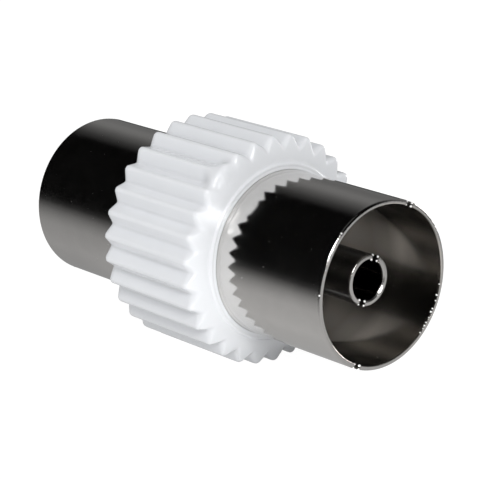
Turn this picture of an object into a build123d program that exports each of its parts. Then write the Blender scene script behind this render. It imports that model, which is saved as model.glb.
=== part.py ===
"""Coaxial gender changer for 9.5 mm aerial leads, with a socket at each end.

The axis lies along X, with the photographed mouth at the +X end. Z is up. The origin is on the
axis, half way between the two rims. The adapter lies on two teeth of its grip, as on a table.
"""
import os
from math import cos, hypot, radians, sin, sqrt, tan

from build123d import *

# Whole adapter
LENGTH = 26.5              # rim to rim

# Outer tube, which is the screen contact of both sockets
TUBE_OD = 10.2
TUBE_WALL = 0.3
RIM_CHAMFER = 0.08
SLIT_WIDTH = 0.5
SLIT_LENGTH = 7.0          # from the rim to the round inner end
SLIT_ANGLE = 70.8          # about X, from +Y towards +Z

# Groove rolled into the tube, which locks the insulator inside and the grip outside
ROLL_WIDTH = 1.6           # at the tube's outside, over the sloping flanks
ROLL_DEPTH = 0.3

# Centre contact, bored from both ends
CONTACT_OD = 3.1
CONTACT_BORE = 2.4
CONTACT_RECESS = 1.2       # from the rim to the contact's mouth
CONTACT_BORE_DEPTH = 8.0   # straight wall, without the drill point
DRILL_POINT_ANGLE = 118.0
CONTACT_MOUTH_CHAMFER = 0.12
CONTACT_EDGE_CHAMFER = 0.08
CONTACT_SLIT_WIDTH = 0.5
CONTACT_SLIT_LENGTH = 5.0
CONTACT_SLIT_ANGLE = 73.2  # about X, from +Y towards +Z
COLLAR_OD = 4.4
COLLAR_WIDTH = 1.4

# Insulator
INSULATOR_LENGTH = 8.0
INSULATOR_CHAMFER = 0.3

# Grip, moulded on to the tube
GRIP_OD = 14.3
GRIP_LENGTH = 8.6          # between the two end faces, at the tube
FACE_SLOPE = 15.0          # each end face falls back towards the teeth, in degrees
TOOTH_END_CHAMFER = 0.15
TEETH = 30
CREST_ANGLE = 1.8          # flat of one tooth, in degrees about the axis
GROOVE_DEPTH = 0.53
CREST_RADIUS = 0.22
GROOVE_FLOOR = 0.1         # narrow flat at the bottom of each groove

# Bead on each end face of the grip, round the tube
BEAD_WIDTH = 0.42
BEAD_HEIGHT = 0.1

# Round pad at the moulding gate, which fills the grooves at the edge of the front face, and its nib
GATE_DIAMETER = 1.9
GATE_ANGLE = 132.2         # about X, from +Y towards +Z
NIB_DIAMETER = 0.5
NIB_HEIGHT = 0.05
NIB_INSET = 0.35           # from the crests to the middle of the nib

# Worked out from the sizes above
half_length = LENGTH / 2
tube_radius = TUBE_OD / 2
tube_bore_radius = tube_radius - TUBE_WALL
contact_radius = CONTACT_OD / 2
contact_bore_radius = CONTACT_BORE / 2
contact_half = half_length - CONTACT_RECESS
crest_radius = GRIP_OD / 2
pitch_angle = 360 / TEETH
grip_half = GRIP_LENGTH / 2
face_fall = tan(radians(FACE_SLOPE))
face_edge_x = grip_half - (crest_radius - tube_radius) * face_fall

# The pad is round as seen from outside. The nib stands square on the front face.
gate_side = (cos(radians(GATE_ANGLE)), sin(radians(GATE_ANGLE)))
pad_plane = Plane(origin=(face_edge_x, 0, 0), z_dir=(0, *gate_side))
nib_radius = crest_radius - NIB_INSET
nib_plane = Plane(
    origin=(
        grip_half - (nib_radius - tube_radius) * face_fall,
        nib_radius * gate_side[0],
        nib_radius * gate_side[1],
    ),
    z_dir=(1, face_fall * gate_side[0], face_fall * gate_side[1]),
)

# The rolled groove's flanks slope at 45 degrees, and the wall keeps its thickness round them
inner_roll_width = ROLL_WIDTH + 2 * TUBE_WALL * (sqrt(2) - 1)


def turned(angle):
    """Plane that holds the axis, seen from a direction turned about X by the angle from +Y."""
    return Plane(origin=(0, 0, 0), x_dir=(1, 0, 0), z_dir=(0, cos(radians(angle)), sin(radians(angle))))


def rolled_line(start_x, end_x, radius, roll_width):
    """Line of a round surface along the axis, with the rolled groove's dip in its middle."""
    side = 1 if end_x > start_x else -1
    top_x = side * roll_width / 2
    floor_x = side * (roll_width / 2 - ROLL_DEPTH)
    floor_radius = radius - ROLL_DEPTH
    Polyline(
        (start_x, radius),
        (-top_x, radius),
        (-floor_x, floor_radius),
        (floor_x, floor_radius),
        (top_x, radius),
        (end_x, radius),
    )


def end_slits(mouth_x, slit_length, slit_width, angle):
    """Outline of the saw cuts at both mouths, with round inner ends, drawn through the axis."""
    with BuildSketch(turned(angle)) as slits:
        with Locations((mouth_x - slit_length / 2, 0), (slit_length / 2 - mouth_x, 0)):
            Rectangle(slit_length - slit_width, slit_width)
        with Locations((mouth_x - slit_width / 2, 0), (slit_width / 2 - mouth_x, 0)):
            Rectangle(2 * slit_width, slit_width)
        round_end_x = mouth_x - slit_length + slit_width / 2
        with Locations((round_end_x, 0), (-round_end_x, 0)):
            Circle(slit_width / 2)
    return slits.sketch


# Outer tube
with BuildPart() as outer_tube:
    with BuildSketch(Plane.XY) as tube_wall:
        with BuildLine():
            rolled_line(-half_length, half_length, tube_radius, ROLL_WIDTH)
            Line((half_length, tube_radius), (half_length, tube_bore_radius))
            rolled_line(half_length, -half_length, tube_bore_radius, inner_roll_width)
            Line((-half_length, tube_bore_radius), (-half_length, tube_radius))
        make_face()
        rim_corners = tube_wall.vertices().group_by(Axis.X)[0] + tube_wall.vertices().group_by(Axis.X)[-1]
        chamfer(rim_corners.group_by(Axis.Y)[-1], min(RIM_CHAMFER, TUBE_WALL / 3))
    revolve(axis=Axis.X)
    tube_slits = end_slits(half_length, SLIT_LENGTH, SLIT_WIDTH, SLIT_ANGLE)
    extrude(tube_slits, amount=TUBE_OD, both=True, mode=Mode.SUBTRACT)
outer_tube.part.label = "outer_tube"

# Centre contact, with a collar that locks it in the insulator
with BuildPart() as centre_contact:
    with BuildSketch(Plane.XY):
        drill_point = contact_bore_radius / tan(radians(DRILL_POINT_ANGLE / 2))
        bore_end = contact_half - CONTACT_BORE_DEPTH
        with BuildLine() as contact_outline:
            Polyline(
                (0, 0),
                (bore_end - drill_point, 0),
                (bore_end, contact_bore_radius),
                (contact_half - CONTACT_MOUTH_CHAMFER, contact_bore_radius),
                (contact_half, contact_bore_radius + CONTACT_MOUTH_CHAMFER),
                (contact_half, contact_radius - CONTACT_EDGE_CHAMFER),
                (contact_half - CONTACT_EDGE_CHAMFER, contact_radius),
                (COLLAR_WIDTH / 2, contact_radius),
                (COLLAR_WIDTH / 2, COLLAR_OD / 2),
                (0, COLLAR_OD / 2),
            )
            mirror(about=Plane.YZ)
        make_face()
    revolve(axis=Axis.X)
    contact_slits = end_slits(contact_half, CONTACT_SLIT_LENGTH, CONTACT_SLIT_WIDTH, CONTACT_SLIT_ANGLE)
    extrude(contact_slits, amount=CONTACT_OD, both=True, mode=Mode.SUBTRACT)
centre_contact.part.label = "centre_contact"

# Insulator, which fills the tube round the contact and sits in the rolled groove
with BuildPart() as insulator:
    insulator_half = INSULATOR_LENGTH / 2
    with BuildSketch(Plane.XY) as insulator_section:
        with BuildLine():
            rolled_line(-insulator_half, insulator_half, tube_bore_radius, inner_roll_width)
            Polyline(
                (insulator_half, tube_bore_radius),
                (insulator_half, contact_radius),
                (COLLAR_WIDTH / 2, contact_radius),
                (COLLAR_WIDTH / 2, COLLAR_OD / 2),
                (-COLLAR_WIDTH / 2, COLLAR_OD / 2),
                (-COLLAR_WIDTH / 2, contact_radius),
                (-insulator_half, contact_radius),
                (-insulator_half, tube_bore_radius),
            )
        make_face()
        end_corners = insulator_section.vertices().group_by(Axis.Y)[-1].sort_by(Axis.X)
        chamfer([end_corners[0], end_corners[-1]], INSULATOR_CHAMFER)
    revolve(axis=Axis.X)
insulator.part.label = "insulator"

# Grip: a toothed bar, trimmed to the turned outline of the sleeve
with BuildPart() as grip:
    with BuildSketch(Plane.YZ) as tooth_ring:
        Circle(crest_radius)
        half_gap = radians(pitch_angle - CREST_ANGLE) / 2
        half_floor = GROOVE_FLOOR / 2
        flank_x = crest_radius * (cos(half_gap) - 1)
        flank_y = crest_radius * sin(half_gap)
        # The flanks run on past the crests by as much again, so the cut leaves no skin
        groove_outline = (
            (-GROOVE_DEPTH, -half_floor),
            (flank_x + (flank_x + GROOVE_DEPTH), -flank_y - (flank_y - half_floor)),
            (flank_x + (flank_x + GROOVE_DEPTH), flank_y + (flank_y - half_floor)),
            (-GROOVE_DEPTH, half_floor),
        )
        with PolarLocations(crest_radius, TEETH, start_angle=pitch_angle / 2):
            Polygon(*groove_outline, align=None, mode=Mode.SUBTRACT)
        corner_split = crest_radius - GROOVE_DEPTH / 2
        tooth_corners = tooth_ring.vertices().filter_by(lambda v: hypot(v.Y, v.Z) > corner_split)
        crest_width = crest_radius * radians(CREST_ANGLE)
        fillet(tooth_corners, min(CREST_RADIUS, crest_width))
    extrude(amount=grip_half, both=True)

    # The gate's pad is trimmed with the teeth, so it ends flush with them
    with BuildSketch(pad_plane.offset(crest_radius - 2 * GROOVE_DEPTH)):
        Circle(GATE_DIAMETER / 2)
    extrude(amount=2 * GROOVE_DEPTH)

    with BuildSketch(Plane.XY) as sleeve_section:
        with BuildLine():
            Polyline(
                (grip_half, tube_radius),
                (face_edge_x, crest_radius),
                (-face_edge_x, crest_radius),
                (-grip_half, tube_radius),
            )
            rolled_line(-grip_half, grip_half, tube_radius, ROLL_WIDTH)
        make_face()
        chamfer(sleeve_section.vertices().group_by(Axis.Y)[-1], TOOTH_END_CHAMFER)
    revolve(axis=Axis.X, mode=Mode.INTERSECT)

    # Bead round the tube at each end, standing on the end face
    with BuildSketch(Plane.XY):
        with Locations((grip_half, tube_radius)):
            Polygon(
                (-BEAD_WIDTH, 0),
                (BEAD_HEIGHT, 0),
                (BEAD_HEIGHT, BEAD_WIDTH / 2),
                (-BEAD_WIDTH * face_fall, BEAD_WIDTH),
                (-BEAD_WIDTH, BEAD_WIDTH),
                align=None,
            )
        mirror(about=Plane.YZ)
    revolve(axis=Axis.X)

    # Nib that is left where the gate was cut off
    with BuildSketch(nib_plane.offset(-NIB_INSET)):
        Circle(NIB_DIAMETER / 2)
    extrude(amount=NIB_INSET + NIB_HEIGHT)
grip.part.label = "grip"

pieces = (outer_tube, centre_contact, insulator, grip)
os.makedirs("parts", exist_ok=True)
for piece in pieces:
    export_step(piece.part, f"parts/{piece.part.label}.step")
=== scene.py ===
"""Looks of a coaxial gender changer: a plated slit tube, its centre contact and a moulded grip."""

import logging
import math
import random
from abc import ABC, abstractmethod
from dataclasses import dataclass
from enum import Enum
from typing import Callable, ClassVar, Sequence

import bmesh
import bpy
from mathutils import Matrix, Quaternion, Vector
from mathutils.geometry import delaunay_2d_cdt


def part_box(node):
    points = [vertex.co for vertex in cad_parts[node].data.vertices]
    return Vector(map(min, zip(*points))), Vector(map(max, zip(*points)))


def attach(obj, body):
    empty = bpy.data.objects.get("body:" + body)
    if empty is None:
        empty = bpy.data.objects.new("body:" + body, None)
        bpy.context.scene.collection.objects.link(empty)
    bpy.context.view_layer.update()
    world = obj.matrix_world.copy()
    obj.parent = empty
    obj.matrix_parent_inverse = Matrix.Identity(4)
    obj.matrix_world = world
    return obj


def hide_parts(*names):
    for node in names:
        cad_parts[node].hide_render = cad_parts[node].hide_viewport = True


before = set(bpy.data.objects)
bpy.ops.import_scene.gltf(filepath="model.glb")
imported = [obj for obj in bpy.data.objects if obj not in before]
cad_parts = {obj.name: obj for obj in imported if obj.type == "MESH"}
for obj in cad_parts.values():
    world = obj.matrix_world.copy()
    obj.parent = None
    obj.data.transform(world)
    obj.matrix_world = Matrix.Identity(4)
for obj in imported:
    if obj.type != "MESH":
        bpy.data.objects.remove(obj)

logging.basicConfig(level=logging.INFO, format="%(message)s")
log = logging.getLogger("gender_changer")

MM = 0.001
WELD = 0.0005  # Points closer than this, in millimetres, are one.

# Brightness of the mirrored floor, by decimetres across the axis and along it.
POOL_ACROSS = (
    (0.0, 0.8), (0.05, 1.0), (0.106, 0.88), (0.132, 0.735), (0.17, 0.55),
    (0.23, 0.31), (0.30, 0.165), (0.37, 0.07), (0.60, 0.025), (1.0, 0.01),
)
POOL_ALONG = ((0.0, 1.0), (0.15, 0.75), (0.5, 0.65))

# Brightness of the mirrored wall, by how far a direction turns from the camera to behind the object.
WALL = (
    (0.64, 0.0), (0.66, 0.03), (0.72, 0.23), (0.785, 0.57), (0.843, 0.97), (0.875, 1.0), (0.923, 0.75),
)
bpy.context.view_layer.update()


class Mouth(Enum):
    """The two ends of the adapter, as the sign of X on that side."""

    FRONT = 1
    REAR = -1


@dataclass(frozen=True)
class FrameSizes:
    """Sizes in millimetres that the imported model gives, as distances from its middle.

    Attributes:
        rim_x: Half the length from rim to rim.
        tube_radius: Outside of the tube.
        contact_x: Half the length of the centre contact.
        collar_radius: Outside of the contact's collar.
        insulator_x: Half the length of the insulator.
        insulator_radius: Outside of the insulator.
        bead_x: Distance from the middle to the top of the bead on each of the grip's ends.
        crest_radius: Outside of the grip's teeth.
        floor_z: Height of the surface that the grip lies on.
    """

    rim_x: float
    tube_radius: float
    contact_x: float
    collar_radius: float
    insulator_x: float
    insulator_radius: float
    bead_x: float
    crest_radius: float
    floor_z: float

    @classmethod
    def from_frame(cls) -> "FrameSizes":
        """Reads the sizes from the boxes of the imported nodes.

        Returns:
            The sizes.
        """
        tube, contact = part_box("outer_tube"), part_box("centre_contact")
        insulator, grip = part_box("insulator"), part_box("grip")
        return cls(
            rim_x=tube[1][0] / MM,
            tube_radius=tube[1][2] / MM,
            contact_x=contact[1][0] / MM,
            collar_radius=contact[1][2] / MM,
            insulator_x=insulator[1][0] / MM,
            insulator_radius=insulator[1][2] / MM,
            bead_x=grip[1][0] / MM,
            crest_radius=grip[1][1] / MM,
            floor_z=grip[0][2] / MM,
        )


class Nodes:
    """Small helper that places nodes in a material or world and joins them."""

    def __init__(self, tree: bpy.types.NodeTree) -> None:
        """Takes the tree and empties it."""
        self.tree = tree
        tree.nodes.clear()

    def add(self, kind: str, **inputs: object) -> bpy.types.Node:
        """Adds a node and sets its inputs by name.

        Args:
            kind: Blender's name of the node's type.
            **inputs: Values, or sockets to join. An underscore stands for a space in the name.

        Returns:
            The node.
        """
        node = self.tree.nodes.new(kind)
        for name, value in inputs.items():
            self.put(node, name.replace("_", " "), value)
        return node

    def put(self, node: bpy.types.Node, name: str | int, value: object) -> None:
        """Sets one input of a node, or joins a socket to it.

        Args:
            node: The node.
            name: Name or number of its input.
            value: The value, or the socket to join.
        """
        socket = node.inputs[name]
        if isinstance(value, bpy.types.NodeSocket):
            self.tree.links.new(value, socket)
        else:
            socket.default_value = value

    def math(self, operation: str, *values: object) -> bpy.types.NodeSocket:
        """Adds a Math node.

        Args:
            operation: Blender's name of the operation.
            *values: Values, or sockets to join.

        Returns:
            The result's socket.
        """
        node = self.tree.nodes.new("ShaderNodeMath")
        node.operation = operation
        for index, value in enumerate(values):
            self.put(node, index, value)
        return node.outputs[0]

    def ramp(self, value: object, stops: Sequence[tuple[float, float]]) -> bpy.types.NodeSocket:
        """Maps a value through grey stops and returns the grey.

        Args:
            value: Socket that gives the place on the ramp.
            stops: Places and greys.

        Returns:
            The ramp's colour socket.
        """
        node = self.tree.nodes.new("ShaderNodeValToRGB")
        elements = node.color_ramp.elements
        while len(elements) < len(stops):
            elements.new(0.5)
        for element, (place, grey) in zip(elements, stops):
            element.position = place
            element.color = (grey, grey, grey, 1.0)
        self.put(node, 0, value)
        return node.outputs[0]

    def mix(self, kind: str, share: object, first: object, second: object) -> bpy.types.NodeSocket:
        """Mixes two colours or two numbers.

        Args:
            kind: "RGBA" or "FLOAT".
            share: Share of the second.
            first: First value or socket.
            second: Second value or socket.

        Returns:
            The result's socket.
        """
        node = self.tree.nodes.new("ShaderNodeMix")
        node.data_type = kind
        start, result = (6, 2) if kind == "RGBA" else (2, 0)
        for index, value in ((0, share), (start, first), (start + 1, second)):
            self.put(node, index, value)
        return node.outputs[result]

    def blend(self, share: object, first: object, second: object) -> bpy.types.NodeSocket:
        """Blends two shaders.

        Args:
            share: Share of the second.
            first: First shader's socket.
            second: Second shader's socket.

        Returns:
            The result's socket.
        """
        node = self.add("ShaderNodeMixShader", Fac=share)
        self.put(node, 1, first)
        self.put(node, 2, second)
        return node.outputs[0]

    def vector(self, operation: str, vector: object, name: str | int, value: object) -> bpy.types.Node:
        """Adds a Vector Math node.

        Args:
            operation: Blender's name of the operation.
            vector: First vector or socket.
            name: Name or number of the other input.
            value: That input's value or socket.

        Returns:
            The node.
        """
        node = self.add("ShaderNodeVectorMath", Vector=vector)
        node.operation = operation
        self.put(node, name, value)
        return node

    def noise(
        self, place: object, scale: float, detail: float, roughness: float = 0.5
    ) -> bpy.types.NodeSocket:
        """Adds a Noise Texture.

        Args:
            place: Socket of the place in space.
            scale: Its scale.
            detail: Its detail.
            roughness: Its roughness.

        Returns:
            The noise's socket.
        """
        node = self.add("ShaderNodeTexNoise", Vector=place, Scale=scale, Detail=detail, Roughness=roughness)
        return node.outputs["Fac"]

    def squares(self, first: object, second: object) -> bpy.types.NodeSocket:
        """Adds the squares of two values."""
        return self.math("MULTIPLY_ADD", first, first, self.math("MULTIPLY", second, second))


def opaque(colour: tuple[float, float, float]) -> tuple[float, float, float, float]:
    """Adds a full alpha to a colour."""
    return (*colour, 1.0)


@dataclass(frozen=True)
class NickelPlate:
    """Bright nickel on a drawn or turned surface, with faint lines and specks.

    Attributes:
        name: Name of the material.
        colour: Reflected colour.
        roughness: Mean roughness.
        variation: How far the roughness wanders.
        lines: Strength of the fine lines round the axis.
        line_scale: Lines per metre along the axis.
        wave: Height of the slow waves in the wall, in metres.
        inside_radius: Radius in metres under which a surface lies inside the mouth.
        inside_colour: Colour inside the mouth, which the painted bands and depth shade darken; near black
            in the contact's bore as painted shade.
        inside_roughness: Its roughness.
        painted_bands: Number of painted bands of light and shade round the inside, in place of the light
            that gets into the mouth.
        painted_band_angle: Angle of one bright band about X, from +Y towards +Z, in degrees.
        painted_band_shade: Brightness between two bright bands, as a share.
        rim_x: Distance in metres from the middle to the rims, whose edges are nicked.
        nick: Height of the nicks, in metres.
        pit: Depth of the fine pits, in metres.
        side_shade: Brightness of the outside behind the rims, as a share; painted shade in place of the
            dark things it mirrors there.
        metallic: How far it mirrors; less on torn, matt metal.
        stain_scale: Scale of the stains.
        stain_shade: Brightness of a stain, as a share.
        wave_scale: Scale of the slow waves.
        nick_scale: Scale of the nicks.
        pit_scale: Scale of the pits.
        pit_roughness: Roughness that a pit adds.
    """

    name: str
    colour: tuple[float, float, float] = (0.74, 0.722, 0.70)
    roughness: float = 0.10
    variation: float = 0.05
    lines: float = 0.02
    line_scale: float = 9000.0
    wave: float = 4e-6
    inside_radius: float = 0.0
    inside_colour: tuple[float, float, float] = (0.98, 0.93, 0.87)
    inside_roughness: float = 0.15
    painted_bands: int = 5
    painted_band_angle: float = 12.0
    painted_band_shade: float = 0.28
    rim_x: float = 1.0
    nick: float = 1.2e-5
    pit: float = 1.5e-6
    side_shade: float = 1.0
    metallic: float = 1.0
    stain_scale: float = 900.0
    stain_shade: float = 0.9
    wave_scale: float = 260.0
    nick_scale: float = 6500.0
    pit_scale: float = 8000.0
    pit_roughness: float = 0.25

    def _outside(self, nodes: Nodes, stain: object, depth: object) -> bpy.types.NodeSocket:
        """Colours the outside, stained a little, with painted shade behind the rims.

        Args:
            nodes: The material's nodes.
            stain: Socket of the slow stains.
            depth: Socket of the depth behind the rim, in millimetres.

        Returns:
            The colour's socket.
        """
        deep = tuple(channel * self.stain_shade for channel in self.colour)
        tint = nodes.mix("RGBA", stain, opaque(deep), opaque(self.colour))
        # Painted shade: the outside darkens behind the rims.
        shade = nodes.ramp(depth, [(0.0, 1.0), (0.08, 1.0), (0.2, self.side_shade)])
        return nodes.vector("SCALE", tint, "Scale", shade).outputs[0]

    def _mouth(self, nodes: Nodes, split: bpy.types.Node) -> bpy.types.NodeSocket:
        """Colours the inside of a mouth, with painted bands of light and shade round it and painted shade
        that darkens it deeper in.

        Args:
            nodes: The material's nodes.
            split: Node with the place's coordinates.

        Returns:
            The colour's socket.
        """
        x, y, z = (split.outputs[axis] for axis in "XYZ")
        # Painted light and shade: bright and dark bands round the inside of the mouth.
        turn = nodes.math("SUBTRACT", nodes.math("ARCTAN2", z, y), math.radians(self.painted_band_angle))
        wave = nodes.math("COSINE", nodes.math("MULTIPLY", turn, float(self.painted_bands)))
        half, mean = (1.0 - self.painted_band_shade) / 2, (1.0 + self.painted_band_shade) / 2
        band_light = nodes.math("MULTIPLY_ADD", wave, half, mean)
        # Painted shade: darker deeper in the mouth, brightest towards the rim.
        along = nodes.math("MULTIPLY", nodes.math("ABSOLUTE", x), 100.0)
        depth_shade = nodes.ramp(along, [(0.55, 0.4), (0.75, 0.35), (0.9, 0.55), (1.0, 1.0)])
        band_light = nodes.math("MULTIPLY", band_light, depth_shade)
        return nodes.vector("SCALE", self.inside_colour, "Scale", band_light).outputs[0]

    def _relief(
        self, nodes: Nodes, place: object, x: object, pitted: object, depth: object
    ) -> bpy.types.NodeSocket:
        """Adds slow waves, turned lines, pits and nicked rims.

        Args:
            nodes: The material's nodes.
            place: Socket of the place in space.
            x: Socket of the place along the axis.
            pitted: Socket that is 1 in a pit.
            depth: Socket of the depth behind the rim, in millimetres.

        Returns:
            The height's socket, in metres.
        """
        stretch = nodes.add("ShaderNodeCombineXYZ", X=nodes.math("MULTIPLY", x, self.line_scale))
        lines = nodes.noise(stretch.outputs[0], 1.0, 2.0)
        height = nodes.math("MULTIPLY", nodes.noise(place, self.wave_scale, 3.0), self.wave)
        height = nodes.math("MULTIPLY_ADD", lines, self.lines * 1e-5, height)
        height = nodes.math("MULTIPLY_ADD", pitted, -self.pit, height)
        at_rim = nodes.ramp(depth, [(0.0, 1.0), (0.06, 0.8), (0.25, 0.0)])
        nicks = nodes.math("MULTIPLY", nodes.noise(place, self.nick_scale, 2.0), self.nick)
        return nodes.math("MULTIPLY_ADD", nicks, at_rim, height)

    def material(self) -> bpy.types.Material:
        """Builds the node material.

        Returns:
            The material.
        """
        made = bpy.data.materials.new(self.name)
        made.use_nodes = True
        nodes = Nodes(made.node_tree)
        place = nodes.add("ShaderNodeTexCoord").outputs["Object"]
        split = nodes.add("ShaderNodeSeparateXYZ", Vector=place)
        stain = nodes.noise(place, self.stain_scale, 5.0, 0.6)
        pits = nodes.noise(place, self.pit_scale, 1.0)
        pitted = nodes.ramp(pits, [(0.0, 0.0), (0.79, 0.0), (0.82, 1.0)])
        depth = nodes.math("SUBTRACT", self.rim_x, nodes.math("ABSOLUTE", split.outputs["X"]))
        depth = nodes.math("MULTIPLY", depth, 1 / MM)
        radius = nodes.math("SQRT", nodes.squares(split.outputs["Y"], split.outputs["Z"]))
        inside = nodes.math("LESS_THAN", radius, self.inside_radius)
        tone = nodes.mix("RGBA", inside, self._outside(nodes, stain, depth), self._mouth(nodes, split))
        wander = nodes.math("MULTIPLY", nodes.math("SUBTRACT", stain, 0.5), 2 * self.variation)
        rough = nodes.math("ADD", wander, self.roughness)
        rough = nodes.math("MULTIPLY_ADD", pitted, self.pit_roughness, rough)
        rough = nodes.math("MULTIPLY_ADD", inside, self.inside_roughness - self.roughness, rough)
        height = self._relief(nodes, place, split.outputs["X"], pitted, depth)
        bump = nodes.add("ShaderNodeBump", Height=height, Strength=1.0, Distance=1.0)
        shader = nodes.add(
            "ShaderNodeBsdfPrincipled",
            Base_Color=tone,
            Metallic=self.metallic,
            Roughness=rough,
            Normal=bump.outputs[0],
        )
        nodes.add("ShaderNodeOutputMaterial", Surface=shader.outputs[0])
        return made


@dataclass(frozen=True)
class MouldedPlastic:
    """White thermoplastic that lets a little light through.

    Attributes:
        name: Name of the material.
        colour: Colour of the plastic.
        shade: Colour of its slightly darker clouds.
        roughness: Mean roughness of its skin.
        scatter: How much of the light goes through the skin.
        depth: How far that light travels, in metres.
        skin: Height of the fine skin texture, in metres.
        seat_radius: Radius in metres at which it seats on metal and lets no light through.
        variation: How far the roughness wanders.
        cloud_scale: Scale of the clouds.
        cloud_swell: Height of the clouds over the skin's own, as a multiple.
        grain_scale: Scale of the skin texture.
        ior: How strongly it bends light.
    """

    name: str
    colour: tuple[float, float, float] = (0.83, 0.845, 0.87)
    shade: tuple[float, float, float] = (0.79, 0.805, 0.83)
    roughness: float = 0.16
    scatter: float = 0.25
    depth: float = 0.0006
    skin: float = 2.5e-6
    seat_radius: float = 0.0
    variation: float = 0.08
    cloud_scale: float = 420.0
    cloud_swell: float = 4.0
    grain_scale: float = 6500.0
    ior: float = 1.5

    def material(self) -> bpy.types.Material:
        """Builds the node material.

        Returns:
            The material.
        """
        made = bpy.data.materials.new(self.name)
        made.use_nodes = True
        nodes = Nodes(made.node_tree)
        place = nodes.add("ShaderNodeTexCoord").outputs["Object"]
        clouds = nodes.noise(place, self.cloud_scale, 3.0)
        colour = nodes.mix("RGBA", clouds, opaque(self.shade), opaque(self.colour))
        centred = nodes.math("SUBTRACT", clouds, 0.5)
        rough = nodes.math("MULTIPLY_ADD", centred, self.variation, self.roughness)
        height = nodes.math("MULTIPLY", nodes.noise(place, self.grain_scale, 4.0), self.skin)
        height = nodes.math("MULTIPLY_ADD", clouds, self.skin * self.cloud_swell, height)
        bump = nodes.add("ShaderNodeBump", Height=height, Strength=1.0, Distance=1.0)
        split = nodes.add("ShaderNodeSeparateXYZ", Vector=place)
        radius = nodes.math("SQRT", nodes.squares(split.outputs["Y"], split.outputs["Z"]))
        proud = nodes.math("MULTIPLY", nodes.math("SUBTRACT", radius, self.seat_radius), 1 / MM)
        shader = nodes.add(
            "ShaderNodeBsdfPrincipled",
            Base_Color=colour,
            Roughness=rough,
            Normal=bump.outputs[0],
            IOR=self.ior,
            Subsurface_Weight=nodes.ramp(proud, [(0.0, 0.0), (0.08, 0.0), (0.7, self.scatter)]),
            Subsurface_Radius=(1.0, 1.0, 1.0),
            Subsurface_Scale=self.depth,
        )
        nodes.add("ShaderNodeOutputMaterial", Surface=shader.outputs[0])
        return made


Finish = NickelPlate | MouldedPlastic
Profile = list[tuple[float, float]]


@dataclass
class SubAssembly(ABC):
    """A part of the adapter, which makes its piece and dresses it.

    Attributes:
        sizes: Sizes from the frame.
    """

    sizes: FrameSizes

    @abstractmethod
    def build(self) -> bpy.types.Object:
        """Makes the piece."""

    @property
    @abstractmethod
    def finish(self) -> Finish:
        """Finish of the piece."""

    def dress(self, piece: bpy.types.Object) -> None:
        """Gives the piece the material of its finish."""
        piece.data.materials.clear()
        piece.data.materials.append(self.finish.material())


@dataclass(frozen=True)
class SawCut:
    """A pair of opposite slits that one saw cut leaves in a mouth.

    Attributes:
        width: Width of the cut in millimetres.
        length: Length from the mouth to the round inner end.
        angle: Turn about X from +Y towards +Z, in degrees.
        END_STEPS: Straight pieces in the half circle of the inner end.
        END_GAP: Room in millimetres between that half circle and the last point of a straight side.
    """

    END_STEPS: ClassVar[int] = 12
    END_GAP: ClassVar[float] = 0.02

    width: float
    length: float
    angle: float

    def sides(self) -> tuple[float, float]:
        """Angles of the two slits, in radians from 0 to a full turn."""
        first = math.radians(self.angle) % math.tau
        return first, (first + math.pi) % math.tau

    def outline(self, mouth_x: float, rows: Sequence[float]) -> list[tuple[float, float]]:
        """Walks round one slit from rim to rim.

        Args:
            mouth_x: Distance of the rim from the middle, without a sign.
            rows: Distances from the middle at which the straight walls get a point.

        Returns:
            Pairs of distance from the middle and offset across the slit.
        """
        half = self.width / 2
        turn_x = mouth_x - self.length + half
        straight = sorted((x for x in rows if x > turn_x + self.END_GAP), reverse=True)
        turns = [math.pi * k / self.END_STEPS for k in range(self.END_STEPS + 1)]
        arc = [(turn_x - half * math.sin(turn), half * math.cos(turn)) for turn in turns]
        return [(x, half) for x in straight] + arc + [(x, -half) for x in reversed(straight)]


TUBE_CUT = SawCut(width=0.5, length=7.0, angle=70.8)
CONTACT_CUT = SawCut(width=0.5, length=5.0, angle=73.2)


def circle_point(angle: float, radius: float, x: float) -> Vector:
    """Point in metres at an angle about X, counted in radians from +Y towards +Z."""
    return Vector((x, radius * math.cos(angle), radius * math.sin(angle))) * MM


def new_piece(name: str, mesh: bpy.types.Mesh, sharp_degrees: float = 32.0) -> bpy.types.Object:
    """Makes a smooth shaded object with sharp edges where its faces turn strongly.

    Args:
        name: Name of the piece.
        mesh: Its mesh, in metres in the frame.
        sharp_degrees: Turn between two faces from which their edge is sharp.

    Returns:
        The object, linked to the scene.
    """
    mesh.polygons.foreach_set("use_smooth", [True] * len(mesh.polygons))
    mesh.set_sharp_from_angle(angle=math.radians(sharp_degrees))
    piece = bpy.data.objects.new(name, mesh)
    bpy.context.scene.collection.objects.link(piece)
    return piece


def finish_mesh(name: str, bm: bmesh.types.BMesh) -> bpy.types.Mesh:
    """Welds doubled points and turns all faces outwards.

    Args:
        name: Name of the mesh.
        bm: The faces, which are freed.

    Returns:
        The mesh.
    """
    bmesh.ops.remove_doubles(bm, verts=bm.verts, dist=WELD * MM)
    bmesh.ops.recalc_face_normals(bm, faces=bm.faces)
    mesh = bpy.data.meshes.new(name)
    bm.to_mesh(mesh)
    bm.free()
    return mesh


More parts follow.
